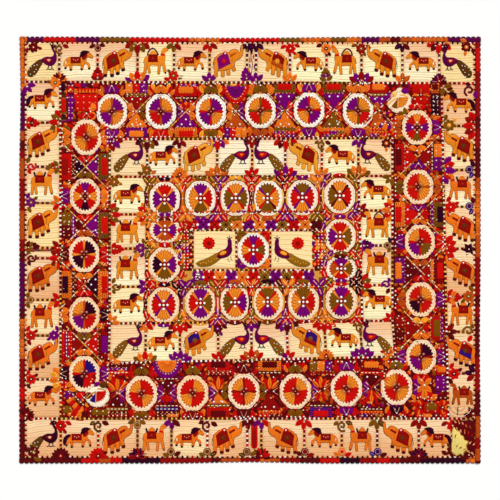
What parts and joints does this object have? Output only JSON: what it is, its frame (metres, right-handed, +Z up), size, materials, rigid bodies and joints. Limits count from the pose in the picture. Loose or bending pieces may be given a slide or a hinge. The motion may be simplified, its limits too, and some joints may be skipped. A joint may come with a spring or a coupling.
{
  "type": "ralli quilt",
  "caption": "Square-ringed patchwork and applique quilt, spread flat: animal patches, flower roundels and a scalloped edging on a quilted ground.",
  "frame": {"origin": "middle of the quilt's underside, on the surface that it lies on", "axes": "+X along the quilt's width towards the right of its worked face, +Y along its length towards the top, +Z up out of the worked face"},
  "size_m": [2.4, 2.22, 0.0061],
  "materials": {
    "ground_cloth": "matt dyed cotton, closely pieced in red, orange, purple and brown",
    "edging_cloth": "matt dyed cotton folded into scallops, in runs of red, orange, purple and brown",
    "patch_cotton": "matt cream cotton with running-stitch quilting",
    "dyed_pieces": "matt dyed cotton pieces with small white beads",
    "roundel_cotton": "matt cream cotton under a flower of dyed petals"
  },
  "bodies": {
    "root": {"border_bottom": "patch_cotton", "border_left": "patch_cotton", "border_right": "patch_cotton", "border_top": "patch_cotton", "edging_bottom": "edging_cloth", "edging_left": "edging_cloth", "edging_right": "edging_cloth", "edging_top": "edging_cloth", "ground": "ground_cloth", "panel_left": "patch_cotton", "panel_right": "patch_cotton", "ring_bottom": "patch_cotton", "ring_left": "patch_cotton", "ring_right": "patch_cotton", "ring_top": "patch_cotton", "roundel_band_bottom_1": "roundel_cotton", "roundel_band_bottom_2": "roundel_cotton", "roundel_band_bottom_3": "roundel_cotton", "roundel_band_bottom_4": "roundel_cotton", "roundel_band_bottom_5": "roundel_cotton", "roundel_band_bottom_6": "roundel_cotton", "roundel_band_corner_1": "roundel_cotton", "roundel_band_corner_2": "roundel_cotton", "roundel_band_left_1": "roundel_cotton", "roundel_band_left_2": "roundel_cotton", "roundel_band_left_3": "roundel_cotton", "roundel_band_left_4": "roundel_cotton", "roundel_band_left_5": "roundel_cotton", "roundel_band_right_1": "roundel_cotton", "roundel_band_right_2": "roundel_cotton", "roundel_band_right_3": "roundel_cotton", "roundel_band_right_4": "roundel_cotton", "roundel_band_right_5": "roundel_cotton", "roundel_band_top_1": "roundel_cotton", "roundel_band_top_2": "roundel_cotton", "roundel_band_top_3": "roundel_cotton", "roundel_band_top_4": "roundel_cotton", "roundel_band_top_5": "roundel_cotton", "roundel_band_top_6": "roundel_cotton", "roundel_field_bottom_1": "roundel_cotton", "roundel_field_bottom_2": "roundel_cotton", "roundel_field_bottom_3": "roundel_cotton", "roundel_field_bottom_4": "roundel_cotton", "roundel_field_bottom_5": "roundel_cotton", "roundel_field_bottom_6": "roundel_cotton", "roundel_field_short_1": "roundel_cotton", "roundel_field_short_2": "roundel_cotton", "roundel_field_side_1": "roundel_cotton", "roundel_field_side_2": "roundel_cotton", "roundel_field_top_1": "roundel_cotton", "roundel_field_top_2": "roundel_cotton", "roundel_field_top_3": "roundel_cotton", "roundel_field_top_4": "roundel_cotton", "roundel_field_top_5": "roundel_cotton", "roundel_field_top_6": "roundel_cotton", "roundel_middle_1": "roundel_cotton", "squares_lower": "dyed_pieces", "squares_upper": "dyed_pieces"}
  },
  "joints": []
}
